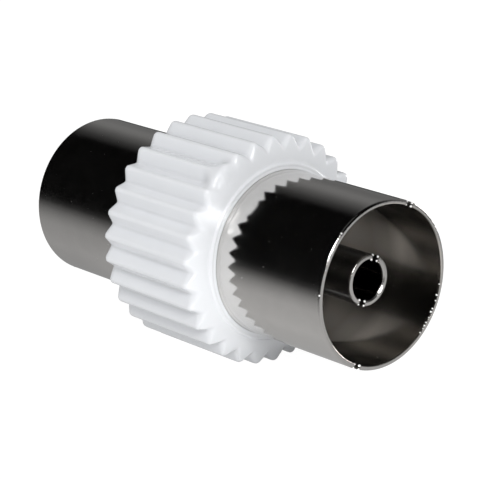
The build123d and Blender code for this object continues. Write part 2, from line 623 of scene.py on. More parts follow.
class RolledSheet:
    """One side of a round wall, made flat with its slits and then rolled up about X.

    Attributes:
        SIDE_GAP: Room in millimetres that the grid leaves beside a slit.
        COLUMN_GAP: Room that it leaves besides, as a share of the distance between two columns.
        END_GAP: Room in millimetres that it leaves at a slit's inner end.
        END_SHARE: Share of the inner end's radius within which a triangle lies in the slit.
    """

    SIDE_GAP: ClassVar[float] = 0.03
    COLUMN_GAP: ClassVar[float] = 0.3
    END_GAP: ClassVar[float] = 0.06
    END_SHARE: ClassVar[float] = 0.985

    def __init__(
        self,
        bm: bmesh.types.BMesh,
        radius_at: Callable[[float], float],
        rows: Sequence[float],
        mouths: dict[Mouth, float],
        cut: SawCut,
        clear_radius: float,
        columns: int,
    ) -> None:
        """Builds the sheet's faces.

        Args:
            bm: Mesh that takes the faces.
            radius_at: Radius in millimetres at a place along the axis.
            rows: Places along the axis, from lowest to highest, that carry points.
            mouths: Distance from the middle of each rim that has slits.
            cut: The slits.
            clear_radius: Radius at which points are kept clear of a slit.
            columns: Points round the sheet.
        """
        side_angle = (cut.width / 2 + self.SIDE_GAP) / clear_radius
        self.clear_angle = side_angle + self.COLUMN_GAP * math.tau / columns
        self.bm = bm
        self.radius_at = radius_at
        self.rows = list(rows)
        self.mouths = mouths
        self.cut = cut
        self.angles = [math.tau * k / columns for k in range(columns + 1)]
        self.scale = max(radius_at(x) for x in rows)
        self.points: list[tuple[float, float]] = []
        self.grid: dict[tuple[int, int], int] = {}
        self.slits: dict[tuple[Mouth, int], list[int]] = {}
        self.corners: dict[tuple[Mouth, int], tuple[float, float]] = {}
        self._place_points()
        self._make_faces()

    def _free_of_slits(self, angle: float, x: float) -> bool:
        """Tests whether a grid point keeps clear of all slits.

        Args:
            angle: Angle of the point about X, in radians.
            x: Its place along the axis.

        Returns:
            True if it does.
        """
        for mouth, rim_x in self.mouths.items():
            depth = rim_x - mouth.value * x
            if depth > self.cut.length + self.END_GAP:
                continue
            for side in self.cut.sides():
                turn = (angle - side + math.pi) % math.tau - math.pi
                if abs(turn) < self.clear_angle:
                    return False
        return True

    def _place_points(self) -> None:
        """Lists the grid's points and the outline of each slit, in the flat."""
        for j, angle in enumerate(self.angles):
            for i, x in enumerate(self.rows):
                if self._free_of_slits(angle, x):
                    self.grid[i, j] = len(self.points)
                    self.points.append((angle, x))
        for mouth, rim_x in self.mouths.items():
            distances = [mouth.value * x for x in self.rows if mouth.value * x > 0]
            for number, side in enumerate(self.cut.sides()):
                line = []
                for distance, offset in self.cut.outline(rim_x, distances):
                    x = mouth.value * distance
                    line.append(len(self.points))
                    self.points.append((side + math.asin(offset / self.radius_at(x)), x))
                self.slits[mouth, number] = line

    def _inside_slit(self, angle: float, x: float) -> bool:
        """Tests whether a place in the flat lies in one of the slits.

        Args:
            angle: Angle of the place about X, in radians.
            x: Its place along the axis.

        Returns:
            True if it does.
        """
        radius = self.radius_at(x)
        half = self.cut.width / 2
        for mouth, rim_x in self.mouths.items():
            distance = mouth.value * x
            turn_x = rim_x - self.cut.length + half
            for side in self.cut.sides():
                offset = radius * math.sin(angle - side)
                if math.cos(angle - side) < 0 or abs(offset) > half:
                    continue
                if distance > turn_x or math.hypot(distance - turn_x, offset) < half * self.END_SHARE:
                    return True
        return False

    def _make_faces(self) -> None:
        """Joins the points with triangles and rolls them up."""
        flat = [Vector((angle * self.scale, x)) for angle, x in self.points]
        edges = [(a, b) for line in self.slits.values() for a, b in zip(line, line[1:])]
        found, _, faces, origins, _, _ = delaunay_2d_cdt(flat, edges, [], 0, 1e-6)
        self.verts: dict[int, bmesh.types.BMVert] = {}
        made = []
        for place, sources in zip(found, origins):
            angle, x = self.points[sources[0]] if sources else (place.x / self.scale, place.y)
            vert = self.bm.verts.new(circle_point(angle, self.radius_at(x), x))
            made.append(vert)
            for source in sources:
                self.verts[source] = vert
        for face in faces:
            middle = sum((found[k] for k in face), Vector((0, 0))) / len(face)
            if not self._inside_slit(middle.x / self.scale, middle.y):
                self.bm.faces.new([made[k] for k in face])

    def rim(self, row: int) -> list[bmesh.types.BMVert | None]:
        """Lists the points round one row of the grid.

        Args:
            row: Number of the row.

        Returns:
            The points, with None where a slit has taken them.
        """
        return [
            self.verts[self.grid[row, j]] if (row, j) in self.grid else None
            for j in range(len(self.angles))
        ]


def join_strip(
    bm: bmesh.types.BMesh,
    first: Sequence[bmesh.types.BMVert | None],
    second: Sequence[bmesh.types.BMVert | None],
) -> None:
    """Joins two rows of points with quads, and skips the places where either has none.

    Args:
        bm: Mesh that takes the faces.
        first: Points of one row.
        second: Points of the other row.
    """
    for a, b, c, d in zip(first, first[1:], second[1:], second):
        if None not in (a, b, c, d):
            bm.faces.new((a, b, c, d))


def close_walls(bm: bmesh.types.BMesh, outer: RolledSheet, inner: RolledSheet, mouth: Mouth) -> None:
    """Joins the outer and inner sheets of one mouth round its rim and its slits.

    Args:
        bm: Mesh that holds both sheets.
        outer: Outside of the wall.
        inner: Inside of the wall.
        mouth: The end to close.
    """
    row = -1 if mouth is Mouth.FRONT else 0
    outer_row = outer.rim(row % len(outer.rows))
    inner_row = inner.rim(row % len(inner.rows))
    join_strip(bm, outer_row, inner_row)
    for number in (0, 1):
        outer_line = [outer.verts[k] for k in outer.slits[mouth, number]]
        inner_line = [inner.verts[k] for k in inner.slits[mouth, number]]
        join_strip(bm, outer_line, inner_line)
        side = outer.cut.sides()[number]
        for corner, step in ((0, 1), (-1, -1)):
            nearest = _next_column(outer, outer_row, side, step)
            bm.faces.new((outer_line[corner], outer_row[nearest], inner_row[nearest], inner_line[corner]))


def _next_column(
    sheet: RolledSheet, row: Sequence[bmesh.types.BMVert | None], side: float, step: int
) -> int:
    """Finds the first rim point beside a slit, going round one way.

    Args:
        sheet: The sheet that has the slit.
        row: Points of its rim.
        side: Angle of the slit in radians.
        step: 1 to go up in angle and -1 to go down.

    Returns:
        The point's index in the row.

    Raises:
        ValueError: If the rim has no point left.
    """
    count = len(sheet.angles) - 1
    start = round(side / math.tau * count)
    for k in range(1, count):
        index = (start + step * k) % count
        if row[index] is not None:
            return index
    raise ValueError("no rim point beside the slit")


def rounded_end(mouth_x: float, radius: float, edge: float, outward: int) -> Callable[[float], float]:
    """Radius of a wall's side along the axis, with its edge rounded at both mouths.

    Args:
        mouth_x: Distance of the rim from the middle.
        radius: Radius of the side.
        edge: Radius of the rounding.
        outward: 1 for the outside of a wall and -1 for the inside.

    Returns:
        A function from a place along the axis to a radius, in millimetres.
    """

    def radius_at(x: float) -> float:
        """Radius of the side at a place along the axis.

        Args:
            x: The place.

        Returns:
            The radius in millimetres.
        """
        depth = mouth_x - abs(x)
        if depth >= edge:
            return radius
        reach = edge - max(depth, 0.0)
        return radius - outward * (edge - math.sqrt(max(edge * edge - reach * reach, 0.0)))

    return radius_at


def spread(start: float, end: float, step: float) -> list[float]:
    """Evenly spaced places from start to end, at most a step apart, with both ends."""
    count = max(1, math.ceil(abs(end - start) / step))
    return [start + (end - start) * k / count for k in range(count + 1)]


def both_ways(distances: Sequence[float]) -> list[float]:
    """Mirrors distances from the middle to both sides, sorted and without doubles."""
    return sorted({round(d, 5) for d in distances} | {round(-d, 5) for d in distances})


@dataclass
class OuterTube(SubAssembly):
    """The plated screen tube, with a pair of spring slits at each mouth.

    Attributes:
        wall: Thickness of the sheet.
        cut: The slits.
        outer_edge: Rounding of the rim's outer edge.
        inner_edge: Rounding of the rim's inner edge.
        roll_width: Width of the locking groove at the outside.
        roll_depth: Depth of the locking groove.
        columns: Points round the tube.
    """

    wall: float = 0.3
    cut: SawCut = TUBE_CUT
    outer_edge: float = 0.13
    inner_edge: float = 0.06
    roll_width: float = 1.6
    roll_depth: float = 0.3
    columns: int = 360

    def _rows(self) -> list[float]:
        """Lists the places along the tube that carry points.

        Returns:
            The places, which lie close together at the rims, the slit ends and the groove.
        """
        rim = self.sizes.rim_x
        edge = [rim - self.outer_edge * (1 - math.cos(math.pi / 2 * k / 6)) for k in range(7)]
        edge += [rim - self.outer_edge * 0.02, rim - self.inner_edge, rim - self.inner_edge * 0.3]
        slit_end = rim - self.cut.length
        body = spread(rim - 0.2, slit_end + 0.6, 0.45) + spread(slit_end + 0.5, slit_end - 0.3, 0.1)
        half = self.roll_width / 2 + self.wall
        middle = spread(slit_end - 0.7, half, 0.5) + spread(half, 0.0, 0.05)
        return both_ways([rim, *edge, *body, *middle])

    def _dip(self, x: float, extra: float) -> float:
        """Depth of the rolled groove at a place along the axis."""
        top = (self.roll_width + extra) / 2
        return max(0.0, min(self.roll_depth, top - abs(x)))

    @property
    def finish(self) -> Finish:
        """Polished nickel plate."""
        return NickelPlate("tube_nickel", inside_radius=0.00486, rim_x=self.sizes.rim_x * MM)

    def build(self) -> bpy.types.Object:
        """Makes the tube as a closed wall.

        Returns:
            The piece.
        """
        rim, radius = self.sizes.rim_x, self.sizes.tube_radius
        rounded_outside = rounded_end(rim, radius, self.outer_edge, 1)
        rounded_inside = rounded_end(rim, radius - self.wall, self.inner_edge, -1)
        inner_extra = 2 * self.wall * (math.sqrt(2) - 1)
        rows = self._rows()
        mouths = {Mouth.FRONT: rim, Mouth.REAR: rim}
        bm = bmesh.new()
        outer, inner = (
            RolledSheet(bm, side, rows, mouths, self.cut, radius - self.wall, self.columns)
            for side in (
                lambda x: rounded_outside(x) - self._dip(x, 0.0),
                lambda x: rounded_inside(x) - self._dip(x, inner_extra),
            )
        )
        for mouth in Mouth:
            close_walls(bm, outer, inner, mouth)
        piece = new_piece("outer_tube_plated", finish_mesh("outer_tube_plated", bm), 40.0)
        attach(piece, "root")
        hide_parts("outer_tube")
        return piece


@dataclass
class CentreContact(SubAssembly):
    """The turned contact, bored and slit at both ends.

    Attributes:
        radius: Outside of the contact.
        bore_radius: Inside of its sockets.
        bore_depth: Straight depth of each socket.
        mouth_chamfer: Lead-in of each socket.
        drill_angle: Angle of the drill's point, in degrees.
        collar_width: Width of the collar in the insulator.
        edge: Rounding of the outer edge of its mouths.
        step: Length in which the collar's side falls.
        cut: The slits.
        columns: Points round the contact.
    """

    radius: float = 1.55
    bore_radius: float = 1.2
    bore_depth: float = 8.0
    mouth_chamfer: float = 0.12
    drill_angle: float = 118.0
    collar_width: float = 1.4
    edge: float = 0.07
    step: float = 0.005
    cut: SawCut = CONTACT_CUT
    columns: int = 144

    def _outside(self, x: float) -> float:
        """Gives the outer radius along the axis, with the collar and a round edge at each mouth.

        Args:
            x: Place along the axis.

        Returns:
            The radius in millimetres.
        """
        if abs(x) < self.collar_width / 2 - self.step:
            return self.sizes.collar_radius
        return rounded_end(self.sizes.contact_x, self.radius, self.edge, 1)(x)

    def _inside(self, x: float) -> float:
        """Bore radius along the axis, with the lead-in's cone."""
        depth = self.sizes.contact_x - abs(x)
        return self.bore_radius + max(0.0, self.mouth_chamfer - depth)

    def _mouth_rows(self) -> list[float]:
        """Lists the places near a mouth that the outside and the bore share.

        Returns:
            Distances from the middle.
        """
        end = self.sizes.contact_x
        slit_end = end - self.cut.length
        rows = [end - depth for depth in (0.0, 0.004, 0.012, 0.03, self.edge, self.mouth_chamfer)]
        return rows + spread(end - 0.2, slit_end + 0.5, 0.35) + spread(slit_end + 0.4, slit_end - 0.2, 0.1)

    @property
    def finish(self) -> Finish:
        """Turned nickel plate, with painted shade that makes the bore near black and darkens the side
        behind the rims.

        Returns:
            The finish.
        """
        return NickelPlate(
            "contact_nickel",
            roughness=0.25,
            inside_radius=0.00124,
            # Painted shade: the bore is near black, as a deep hole in shade.
            inside_colour=(0.08, 0.075, 0.07),
            rim_x=self.sizes.contact_x * MM,
            # Painted shade: the side behind the rims is darkened, in place of the dark socket that it
            # mirrors.
            side_shade=0.4,
        )

    def build(self) -> bpy.types.Object:
        """Makes the contact as one closed mesh.

        Returns:
            The piece.
        """
        end = self.sizes.contact_x
        near = self._mouth_rows()
        bore_end = end - self.bore_depth
        middle = spread(end - self.cut.length - 0.6, bore_end, 0.5)
        side = self.collar_width / 2
        collar = [side + self.step, side - self.step - 0.001, 0.0]
        drop = self.bore_radius / math.tan(math.radians(self.drill_angle / 2))
        bm = bmesh.new()
        outer = RolledSheet(
            bm,
            self._outside,
            both_ways([*near, *middle, bore_end - 1.0, *collar]),
            {Mouth.FRONT: end, Mouth.REAR: end},
            self.cut,
            self.bore_radius,
            self.columns,
        )
        for mouth in Mouth:
            rows = sorted(mouth.value * x for x in {round(x, 5) for x in [*near, *middle]})
            inner = RolledSheet(
                bm, self._inside, rows, {mouth: end}, self.cut, self.bore_radius, self.columns
            )
            close_walls(bm, outer, inner, mouth)
            last = inner.rim(0 if mouth is Mouth.FRONT else len(rows) - 1)
            point = bm.verts.new(Vector((mouth.value * (bore_end - drop) * MM, 0, 0)))
            for a, b in zip(last, last[1:]):
                bm.faces.new((a, b, point))
        piece = new_piece("centre_contact_plated", finish_mesh("centre_contact_plated", bm))
        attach(piece, "root")
        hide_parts("centre_contact")
        return piece


def round_corner(start: Vector, corner: Vector, end: Vector, t: float) -> Vector:
    """Gives a point of a near-circular bend that bulges towards a corner.

    Args:
        start: Start of the bend.
        corner: The corner.
        end: End of the bend.
        t: Share of the way, from 0 to 1.

    Returns:
        The point.
    """
    weight = 0.92
    a, b, c = (1 - t) ** 2, 2 * t * (1 - t) * weight, t * t
    return (start * a + corner * b + end * c) / (a + b + c)


def mixed(first: tuple[float, float], second: tuple[float, float], share: float) -> tuple[float, float]:
    """Point on the way from the first to the second."""
    return tuple(a + (b - a) * share for a, b in zip(first, second))


def smooth_step(low: float, high: float, value: float) -> float:
    """Smooth rise from 0 to 1 between two values."""
    share = max(0.0, min(1.0, (value - low) / (high - low)))
    return share * share * (3 - 2 * share)


def lathe(name: str, profile: Profile, columns: int) -> bpy.types.Mesh:
    """Turns a closed outline about X.

    Args:
        name: Name of the mesh.
        profile: Places along the axis and radii in millimetres, round the section.
        columns: Points round the axis.

    Returns:
        The closed mesh.
    """
    bm = bmesh.new()
    rings = [
        [bm.verts.new(circle_point(math.tau * k / columns, radius, x)) for k in range(columns)]
        for x, radius in profile
    ]
    for first, second in zip(rings, rings[1:] + rings[:1]):
        for k in range(columns):
            n = (k + 1) % columns
            bm.faces.new((first[k], first[n], second[n], second[k]))
    return finish_mesh(name, bm)


@dataclass
class Insulator(SubAssembly):
    """The plastic disc that holds the contact.

    Attributes:
        contact_radius: Outside of the contact in it.
        collar_width: Width of the recess for the contact's collar.
        edge: Rounding of its outer edges.
        hole_edge: Chamfer at the contact.
        groove_width: Width of the groove under the rolled tube.
        groove_depth: Depth of that groove.
    """

    contact_radius: float = 1.55
    collar_width: float = 1.4
    edge: float = 0.3
    hole_edge: float = 0.06
    groove_width: float = 1.85
    groove_depth: float = 0.3

    @property
    def finish(self) -> Finish:
        """Natural white plastic, with a satin skin.

        Returns:
            The finish.
        """
        return MouldedPlastic(
            "insulator_white",
            colour=(0.86, 0.84, 0.81),
            shade=(0.82, 0.80, 0.77),
            roughness=0.4,
            scatter=0.0,
        )

    def build(self) -> bpy.types.Object:
        """Makes the disc with its rounded edges and its hole.

        Returns:
            The piece.
        """
        half, radius = self.sizes.insulator_x, self.sizes.insulator_radius
        steps = 8
        arc = [math.pi / 2 * k / steps for k in range(steps + 1)]
        front = [
            (half - self.edge * (1 - math.sin(t)), radius - self.edge * (1 - math.cos(t))) for t in arc
        ]
        back = [(-x, r) for x, r in reversed(front)]
        top = self.groove_width / 2
        low = top - self.groove_depth
        groove = [
            (-top, radius),
            (-low, radius - self.groove_depth),
            (low, radius - self.groove_depth),
            (top, radius),
        ]
        collar = self.collar_width / 2
        face = [(half, self.contact_radius + 0.25), (half, self.contact_radius + self.hole_edge)]
        hole = [
            (half - self.hole_edge, self.contact_radius),
            (collar, self.contact_radius),
            (collar, self.sizes.collar_radius),
        ]
        inside = face + hole
        profile = [*back, *groove, *front, *inside, *[(-x, r) for x, r in reversed(inside)]]
        piece = new_piece("insulator_moulded", lathe("insulator_moulded", profile, 180))
        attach(piece, "root")
        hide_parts("insulator")
        return piece


@dataclass
class SawBurrs(SubAssembly):
    """Small burrs that the saw left beside the slits, and a few raised specks on the rims.

    Attributes:
        tube_cut: Slits of the tube.
        contact_cut: Slits of the contact.
        tube_radii: Radii at which the tube's burrs stand.
        contact_radii: Radii at which the contact's burrs stand.
        sunk: How far a burr's middle stands out into a slit.
        smallest: Radius of the smallest burr.
        largest: Radius of the largest burr.
        specks: Angles about X of the specks on the rims, in degrees.
    """

    tube_cut: SawCut = TUBE_CUT
    contact_cut: SawCut = CONTACT_CUT
    tube_radii: tuple[float, float] = (5.05, 4.84)
    contact_radii: tuple[float, float] = (1.51, 1.25)
    sunk: float = 0.02
    smallest: float = 0.05
    largest: float = 0.08
    specks: tuple[float, ...] = (
        137.0, 180.0, -6.0, -14.0, -18.0, -24.0, -26.5, -31.0, -35.0, -37.5, -40.0, -43.5
    )

    def _places(self) -> list[tuple[float, float, float]]:
        """Places every burr of one end.

        Returns:
            Angles about X, radii and distances from the middle.
        """
        outer, inner = self.tube_radii
        places = [
            (math.radians(angle), inner if angle < 0 else outer, self.sizes.rim_x) for angle in self.specks
        ]
        ends = (
            (self.tube_cut, self.tube_radii, self.sizes.rim_x),
            (self.contact_cut, self.contact_radii, self.sizes.contact_x),
        )
        for cut, radii, end_x in ends:
            for side in cut.sides():
                for radius in radii:
                    offset = (cut.width / 2 - self.sunk) / radius
                    places += [(side - offset, radius, end_x), (side + offset, radius, end_x)]
        return places

    @property
    def finish(self) -> Finish:
        """Torn metal, half matt and near white: the burrs are real, and their near-white colour is painted
        highlight so that they read as glints.
        """
        # Painted highlight: near-white, half-matt colour so that the small balls show as bright glints.
        return NickelPlate("burr_nickel", (0.97, 0.96, 0.95), roughness=0.5, metallic=0.2)

    def build(self) -> bpy.types.Object:
        """Makes all burrs as small closed balls of one mesh.

        Returns:
            The piece.
        """
        chance = random.Random(9)
        bm = bmesh.new()
        for mouth in Mouth:
            for angle, radius, end_x in self._places():
                size = chance.uniform(self.smallest, self.largest)
                centre = circle_point(angle, radius, mouth.value * (end_x - size))
                place = Matrix.Translation(centre)
                bmesh.ops.create_icosphere(bm, subdivisions=2, radius=size * MM, matrix=place)
        mesh = bpy.data.meshes.new("saw_burrs")
        bm.to_mesh(mesh)
        bm.free()
        piece = new_piece("saw_burrs", mesh, 60.0)
        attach(piece, "root")
        return piece


@dataclass
class Grip(SubAssembly):
    """The moulded grip with its teeth, sloping end faces, beads and gate mark.

    Attributes:
        teeth: Number of teeth.
        crest_angle: Flat of one tooth, in degrees about the axis.
        groove_depth: Depth of the grooves.
        groove_floor: Flat at the bottom of a groove.
        crest_edge: Rounding of the crest's two edges.
        bead_width: Width of the bead round the tube.
        bead_height: Height of the bead over the end face.
        face_slope: Mean slope of the front end face, in degrees.
        rear_slope: Mean slope of the rear end face.
        face_dome: How far the middle of an end face stands out.
        tooth_end: Rounding between an end face and the crests.
        gate_angle: Place of the gate about X, from +Y towards +Z, in degrees.
        gate_radius: Half the width of the pad that fills the grooves there.
        gate_fade: How far the pad's edge fades, inwards and outwards.
        nib_inset: Distance of the cut-off nib from the crests.
        nib_radius: Half the width of the nib.
        nib_height: Height of the nib.
        roll_width: Width of the rib in the tube's groove.
        roll_depth: Height of that rib.
        BEAD: Section of the bead, as shares of its width and height.
    """

    BEAD: ClassVar[Profile] = [
        (0.92, 0.45), (0.8, 0.85), (0.64, 0.9), (0.5, 0.55), (0.36, 0.6), (0.2, 1.0), (0.03, 1.0),
    ]

    teeth: int = 30
    crest_angle: float = 1.8
    groove_depth: float = 0.53
    groove_floor: float = 0.1
    crest_edge: float = 0.22
    bead_width: float = 0.42
    bead_height: float = 0.1
    face_slope: float = 10.5
    rear_slope: float = 15.0
    face_dome: float = 0.06
    tooth_end: float = 0.3
    gate_angle: float = 132.2
    gate_radius: float = 0.95
    gate_fade: tuple[float, float] = (0.45, 0.4)
    nib_inset: float = 0.45
    nib_radius: float = 0.3
    nib_height: float = 0.04
    roll_width: float = 1.6
    roll_depth: float = 0.3

    @property
    def face_x(self) -> float:
        """End face at the tube, from the middle."""
        return self.sizes.bead_x - self.bead_height

    @property
    def face_edge_x(self) -> float:
        """Corner between the front end face and the crests, from the middle."""
        fall = math.tan(math.radians(self.face_slope))
        return self.face_x - (self.sizes.crest_radius - self.sizes.tube_radius) * fall

    def _tooth_columns(self) -> Profile:
        """Places the points of one groove's section, from crest to crest.

        Returns:
            Angles in radians and radii.
        """
        crest = self.sizes.crest_radius
        pitch = math.tau / self.teeth
        half_gap = (pitch - math.radians(self.crest_angle)) / 2
        corner = Vector((crest * math.cos(half_gap), crest * math.sin(half_gap)))
        floor = Vector((crest - self.groove_depth, self.groove_floor / 2))
        flank = (floor - corner).normalized()
        land = Vector((-math.sin(half_gap), math.cos(half_gap)))
        setback = self.crest_edge / math.tan(math.acos(flank.dot(land)) / 2)
        start, end = corner + flank * setback, corner + land * setback
        line = [Vector((floor.x, 0.0)), floor, *(floor.lerp(start, k / 3) for k in (1, 2))]
        line += [round_corner(start, corner, end, k / 8) for k in range(9)]
        half = [(math.atan2(p.y, p.x), min(p.length, crest)) for p in line]
        last = half[-1][0]
        half += [(last + (pitch / 2 - last) * k / 2, crest) for k in (1, 2)]
        mirrored = [(pitch - angle, radius) for angle, radius in reversed(half[1:-1])]
        return half + mirrored

    def _end_line(self, radius: float, fine: bool = True) -> Profile:
        """Outline of an end, from the rounding at a radius of the body down to the bead's foot.

        Args:
            radius: Radius of the toothed body there.
            fine: False for an end with fewer points.

        Returns:
            Distances from the middle and radii.
        """
        slope = math.radians(self.face_slope if fine else self.rear_slope)
        turn = math.pi / 2 - slope
        crest, foot_radius = self.sizes.crest_radius, self.sizes.tube_radius + self.bead_width
        depth = (crest - radius) / self.groove_depth
        edge = self.tooth_end * (1.0 + depth)
        corner_x = self.face_x - (radius - self.sizes.tube_radius) * math.tan(slope)
        arc_x = corner_x - edge * math.tan(turn / 2)
        steps, rows = (8, 14) if fine else (4, 6)
        turns = [turn * k / steps for k in range(steps + 1)]
        arc = [(arc_x + edge * math.sin(t), radius - edge * (1 - math.cos(t))) for t in turns]
        foot = (self.face_x - self.bead_width * math.tan(slope), foot_radius)
        line = arc + [mixed(arc[-1], foot, k / rows) for k in range(1, rows + 1)]
        reach = crest - foot_radius
        return [(x + self.face_dome * 4 * (r - foot_radius) * (crest - r) / reach**2, r) for x, r in line]

    def _half_column(self, radius: float, fine: bool) -> Profile:
        """Outline of one half of the grip's section at one place round it.

        Args:
            radius: Radius of the toothed body there.
            fine: True for the end that carries the gate and faces the camera.

        Returns:
            Distances from the middle and radii, from the middle out and back along the tube.
        """
        tube, bead_x = self.sizes.tube_radius, self.sizes.bead_x
        face = self._end_line(radius, fine)
        start_x = face[0][0]
        dense_x = start_x - (1.6 if fine else 0.5)
        body = [(dense_x * k / 5, radius) for k in range(5)]
        rows = 17 if fine else 4
        body += [(dense_x + (start_x - dense_x) * k / rows, radius) for k in range(rows)]
        bead = [(self.face_x + self.bead_height * h, tube + self.bead_width * w) for w, h in self.BEAD]
        top = self.roll_width / 2
        bore = [(bead_x - 0.012, tube), (bead_x - 0.3, tube), (top, tube)]
        return [*body, *face, *bead, *bore, (top - self.roll_depth, tube - self.roll_depth)]

    def _with_gate(self, point: Vector, end_line: Profile) -> Vector:
        """Moves a point of the body out to the gate's pad or nib where it lies under them.

        Args:
            point: Point of the grip in millimetres.
            end_line: The end's outline at a crest.

        Returns:
            The point, moved or as it was.
        """
        turn = math.radians(self.gate_angle)
        radius = math.hypot(point.y, point.z)
        aside = radius * ((math.atan2(point.z, point.y) - turn + math.pi) % math.tau - math.pi)
        behind = self.face_edge_x - point.x
        if max(abs(aside), behind) > 2 * self.gate_radius:
            return point
        across = math.hypot(aside, 0.8 * max(0.0, behind))
        inwards, outwards = self.gate_fade
        fill = 1.0 - smooth_step(self.gate_radius - inwards, self.gate_radius + outwards, across)
        full = self._envelope(point.x, end_line)
        if full > radius:
            grown = (radius + (full - radius) * fill) / radius
            point = Vector((point.x, point.y * grown, point.z * grown))
        drop = self.sizes.crest_radius - self.nib_inset - math.hypot(point.y, point.z)
        nib = 1.0 - smooth_step(self.nib_radius * 0.6, self.nib_radius * 1.2, math.hypot(aside, drop))
        on_face = smooth_step(self.face_edge_x - 0.2, self.face_edge_x, point.x)
        return point + Vector((self.nib_height * nib * on_face, 0, 0))

    def _envelope(self, x: float, end_line: Profile) -> float:
        """Gives the radius of the end's outline at a place along the axis.

        Args:
            x: The place.
            end_line: The outline.

        Returns:
            The radius in millimetres.
        """
        if x <= end_line[0][0]:
            return self.sizes.crest_radius
        for (x0, r0), (x1, r1) in zip(end_line, end_line[1:]):
            if x0 <= x <= x1:
                return r0 + (r1 - r0) * (x - x0) / max(x1 - x0, 1e-9)
        return end_line[-1][1]

    @property
    def finish(self) -> Finish:
        """White plastic with a soft gloss."""
        return MouldedPlastic("grip_white", seat_radius=0.0051)

    def build(self) -> bpy.types.Object:
        """Makes the grip as one closed mesh with softened edges.

        Returns:
            The piece.
        """
        end_line = self._end_line(self.sizes.crest_radius)
        pitch = math.tau / self.teeth
        tooth = self._tooth_columns()
        foot_radius = self.sizes.tube_radius + self.bead_width + 0.01
        bm = bmesh.new()
        rings = []
        for number in range(self.teeth):
            for angle, radius in tooth:
                turned = pitch * (number + 0.5) + angle
                front = self._half_column(radius, fine=True)
                back = self._half_column(radius, fine=False)
                ring = []
                for x, r in [*front, *((-x, r) for x, r in reversed(back[1:]))]:
                    point = Vector((x, r * math.cos(turned), r * math.sin(turned)))
                    if r > foot_radius:
                        point = self._with_gate(point, end_line)
                    ring.append(bm.verts.new(point * MM))
                rings.append(ring)
        for first, second in zip(rings, rings[1:] + rings[:1]):
            for k in range(len(first)):
                n = (k + 1) % len(first)
                bm.faces.new((first[k], first[n], second[n], second[k]))
        piece = new_piece("grip_moulded", finish_mesh("grip_moulded", bm), 60.0)
        outside = piece.vertex_groups.new(name="outside")
        limit = (self.sizes.tube_radius + 0.1) * MM
        verts = piece.data.vertices
        outside.add([v.index for v in verts if math.hypot(v.co.y, v.co.z) > limit], 1.0, "REPLACE")
        soften = piece.modifiers.new("soften", "SMOOTH")
        soften.factor = 0.5
        soften.iterations = 5
        soften.vertex_group = outside.name
        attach(piece, "root")
        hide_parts("grip")
        return piece


def direction(azimuth: float, elevation: float) -> Vector:
    """Gives the direction of a place seen from the object.

    Args:
        azimuth: Turn about Z in degrees; 0 is -Y and 90 is +X.
        elevation: Height over the horizon, in degrees.

    Returns:
        The direction, of length 1.
    """
    turn, height = math.radians(azimuth), math.radians(elevation)
    level = math.cos(height)
    return Vector((math.sin(turn) * level, -math.cos(turn) * level, math.sin(height)))


def place_aimed(
    name: str, data: bpy.types.ID, location: Vector, back: Vector, roll: float = 0.0
) -> bpy.types.Object:
    """Places a camera or a lamp that looks along a line.

    Args:
        name: Name of the object.
        data: Its camera or light.
        location: Its place in metres.
        back: Direction from what it looks at towards it.
        roll: Turn of its picture about the line of sight, in degrees.

    Returns:
        The object, linked to the scene.
    """
    aimed = bpy.data.objects.new(name, data)
    bpy.context.scene.collection.objects.link(aimed)
    aimed.location = location
    aimed.rotation_mode = "QUATERNION"
    level = (-back).to_track_quat("-Z", "Y")
    aimed.rotation_quaternion = level @ Quaternion((0, 0, 1), math.radians(-roll))
    return aimed


@dataclass(frozen=True)
class PhotoCamera:
    """The camera at the photograph's viewing angle.

    Attributes:
        azimuth: Turn about Z of the view's direction, in degrees; 0 looks along +Y.
        elevation: Height of the view over the horizon, in degrees.
        roll: Turn of the picture about the line of sight, in degrees.
        place: Camera's place in millimetres.
        lens: Focal length in millimetres.
        sensor: Width of the sensor in millimetres.
        reach: Nearest and farthest distance that it shows, in metres.
    """

    azimuth: float = 47.54
    elevation: float = 13.18
    roll: float = -3.89
    place: tuple[float, float, float] = (99.05, -89.94, 31.15)
    lens: float = 166.27
    sensor: float = 36.0
    reach: tuple[float, float] = (0.005, 5.0)

    def build(self) -> bpy.types.Object:
        """Makes the camera and sets it as the scene's.

        Returns:
            The camera.
        """
        data = bpy.data.cameras.new("photo_camera")
        data.sensor_width = self.sensor
        data.lens = self.lens
        data.clip_start, data.clip_end = self.reach
        back = direction(self.azimuth, self.elevation)
        camera = place_aimed("photo_camera", data, Vector(self.place) * MM, back, self.roll)
        bpy.context.scene.camera = camera
        return camera


@dataclass(frozen=True)
class Softbox:
    """One soft light.

    Attributes:
        name: Name of the light.
        azimuth: Direction it comes from, in degrees; 0 is -Y and 90 is +X.
        elevation: Height of that direction, in degrees.
        distance: Distance from the object in metres.
        size: Side of the light in metres.
        power: Power in watts.
    """

    name: str
    azimuth: float
    elevation: float
    distance: float
    size: float
    power: float

    def build(self) -> bpy.types.Object:
        """Makes the area light, aimed at the object.

        Returns:
            The lamp.
        """
        data = bpy.data.lights.new(self.name, "AREA")
        data.shape = "SQUARE"
        data.size = self.size
        data.energy = self.power
        way = direction(self.azimuth, self.elevation)
        return place_aimed(self.name, data, way * self.distance, way)


